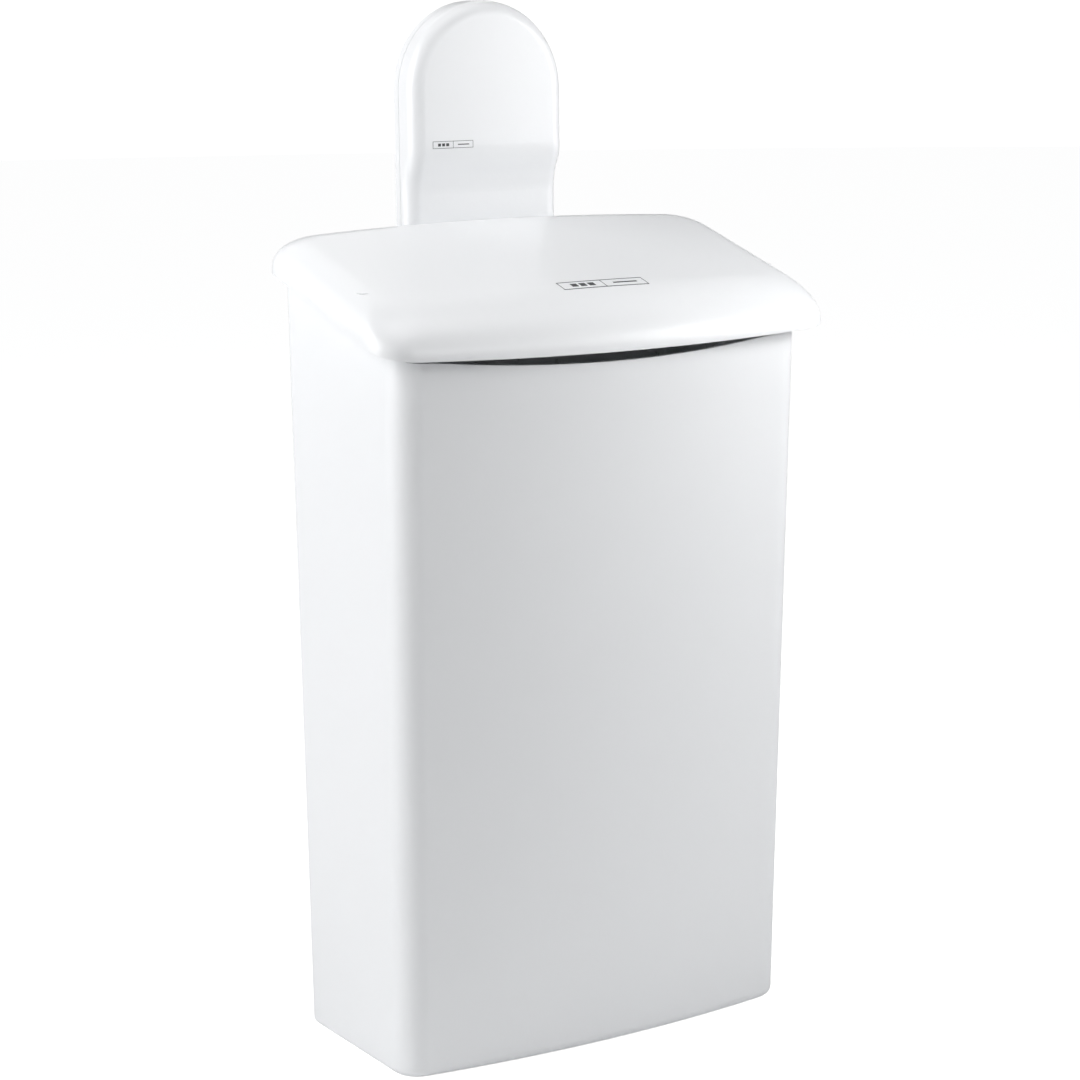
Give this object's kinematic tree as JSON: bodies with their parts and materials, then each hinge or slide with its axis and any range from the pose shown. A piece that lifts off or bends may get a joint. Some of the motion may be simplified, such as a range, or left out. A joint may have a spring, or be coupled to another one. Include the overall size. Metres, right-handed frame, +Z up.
{
  "type": "waste bin with bag dispenser",
  "caption": "Slim white plastic waste bin with a sloping lift-up lid, a finger scoop in the rim and a round-topped bag dispenser rising behind it; stands on a floor or hangs on a wall.",
  "frame": {"origin": "on the floor, in the middle of the whole object's footprint", "axes": "+Z up, -Y towards the user (the lid's front edge), +Y towards the wall, +X to the right as seen from the front"},
  "size_m": [0.34, 0.194, 0.6871],
  "materials": {
    "bin_plastic": "glossy white moulded plastic",
    "lid_plastic": "glossy white moulded plastic",
    "dispenser_plastic": "glossy white moulded plastic",
    "frame_plastic": "satin light grey moulded plastic",
    "rubber": "matt dark grey rubber",
    "zinc_steel": "zinc-plated pressed steel",
    "stainless": "bright stainless steel",
    "bag_film": "thin milky polyethylene film",
    "carton_board": "uncoated white-lined board",
    "hygiene_film": "folded pale film bags"
  },
  "bodies": {
    "bin": {"bin_body": "bin_plastic", "rubber_feet": "rubber", "rear_buffers": "rubber", "hinge_bracket_left": "zinc_steel", "hinge_bracket_right": "zinc_steel", "hinge_pin_left": "stainless", "hinge_pin_right": "stainless", "bracket_screws": "stainless", "hanger_hook_left": "zinc_steel", "hanger_hook_right": "zinc_steel", "hook_screws": "stainless"},
    "bag_holder": {"bag_frame": "frame_plastic", "liner_bag": "bag_film"},
    "lid": {"lid_shell": "lid_plastic", "hinge_leaf_left": "frame_plastic", "hinge_leaf_right": "frame_plastic", "leaf_screws": "stainless", "lid_bumpers": "rubber"},
    "wall_unit": {"wall_bracket": "zinc_steel", "dispenser_back": "dispenser_plastic", "dispenser_screws": "stainless", "pivot_pin_left": "stainless", "pivot_pin_right": "stainless", "bag_carton": "carton_board", "bag_stack": "hygiene_film"},
    "dispenser_door": {"dispenser_cover": "dispenser_plastic"}
  },
  "joints": [
    {"name": "lid_hinge", "type": "hinge", "parent": "bin", "child": "lid", "pos_m": [0, 0.0665, 0.531], "axis": [-1, 0, 0], "range_deg": [0, 75]},
    {"name": "bag_frame_lift", "type": "slide", "parent": "bin", "child": "bag_holder", "axis": [0, 0, 1], "range_m": [0, 0.01]},
    {"name": "wall_unit_unhook", "type": "slide", "parent": "bin", "child": "wall_unit", "axis": [0, 0, -1], "range_m": [0, 0.011]},
    {"name": "dispenser_door_tilt", "type": "hinge", "parent": "wall_unit", "child": "dispenser_door", "pos_m": [0, 0.0865, 0.541], "axis": [1, 0, 0], "range_deg": [0, 11]}
  ]
}
